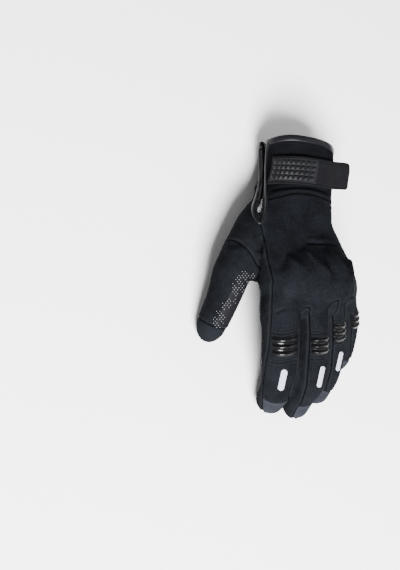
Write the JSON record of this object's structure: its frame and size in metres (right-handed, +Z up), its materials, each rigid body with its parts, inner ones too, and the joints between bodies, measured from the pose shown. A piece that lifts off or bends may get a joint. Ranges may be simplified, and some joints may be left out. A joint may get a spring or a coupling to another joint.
{
  "type": "softshell glove",
  "caption": "Left winter glove: softshell back with padded knuckle guard, suede palm with grip panel, ridged finger joints, touch tips and a strapped cuff with a keyhole vent.",
  "frame": {"origin": "middle of the bounding box, at the height of the surface the glove lies on", "axes": "+Z up from the palm to the back of the hand, fingers toward -Y, cuff toward +Y, thumb toward -X"},
  "size_m": [0.1513, 0.2308, 0.0721],
  "materials": {
    "softshell": "matt near-black stretch cloth with a fine weave",
    "suede": "charcoal imitation suede",
    "cuff_cloth": "matt black stretch cloth",
    "binding": "smooth folded tape, slightly shiny",
    "strap_cloth": "dark grey woven face",
    "strap_rubber": "moulded soft rubber with small pyramids",
    "flex_panel": "glossy black moulded ridges",
    "reflective": "pale reflective film",
    "tip_suede": "lighter grey imitation suede",
    "touch_pad": "dark smooth imitation leather",
    "grip_suede": "imitation suede with fine raised dots",
    "crotch_patch": "charcoal imitation suede",
    "patch_rubber": "moulded rubber, matt",
    "label_cloth": "woven black label with a yellow edge"
  },
  "bodies": {
    "root": {"back_panel": "softshell", "cuff_back": "cuff_cloth", "cuff_binding": "binding", "cuff_palm": "cuff_cloth", "index_back": "softshell", "index_reflector": "reflective", "index_ribs": "flex_panel", "index_sleeve": "suede", "index_tip": "tip_suede", "index_touch_pad": "touch_pad", "middle_back": "softshell", "middle_reflector": "reflective", "middle_ribs": "flex_panel", "middle_sleeve": "suede", "middle_tip": "tip_suede", "middle_touch_pad": "touch_pad", "palm_grip": "grip_suede", "palm_panel": "suede", "palm_patch": "patch_rubber", "pinky_back": "softshell", "pinky_ribs": "flex_panel", "pinky_sleeve": "suede", "pinky_tip": "tip_suede", "ring_back": "softshell", "ring_reflector": "reflective", "ring_ribs": "flex_panel", "ring_sleeve": "suede", "ring_tip": "tip_suede", "side_label": "label_cloth", "strap_grip_pad": "strap_rubber", "thumb_crotch_patch": "crotch_patch", "thumb_grip": "grip_suede", "thumb_panel": "softshell", "thumb_tip": "tip_suede", "thumb_touch_pad": "touch_pad", "vent_binding": "binding", "wrist_strap": "strap_cloth"}
  },
  "joints": []
}
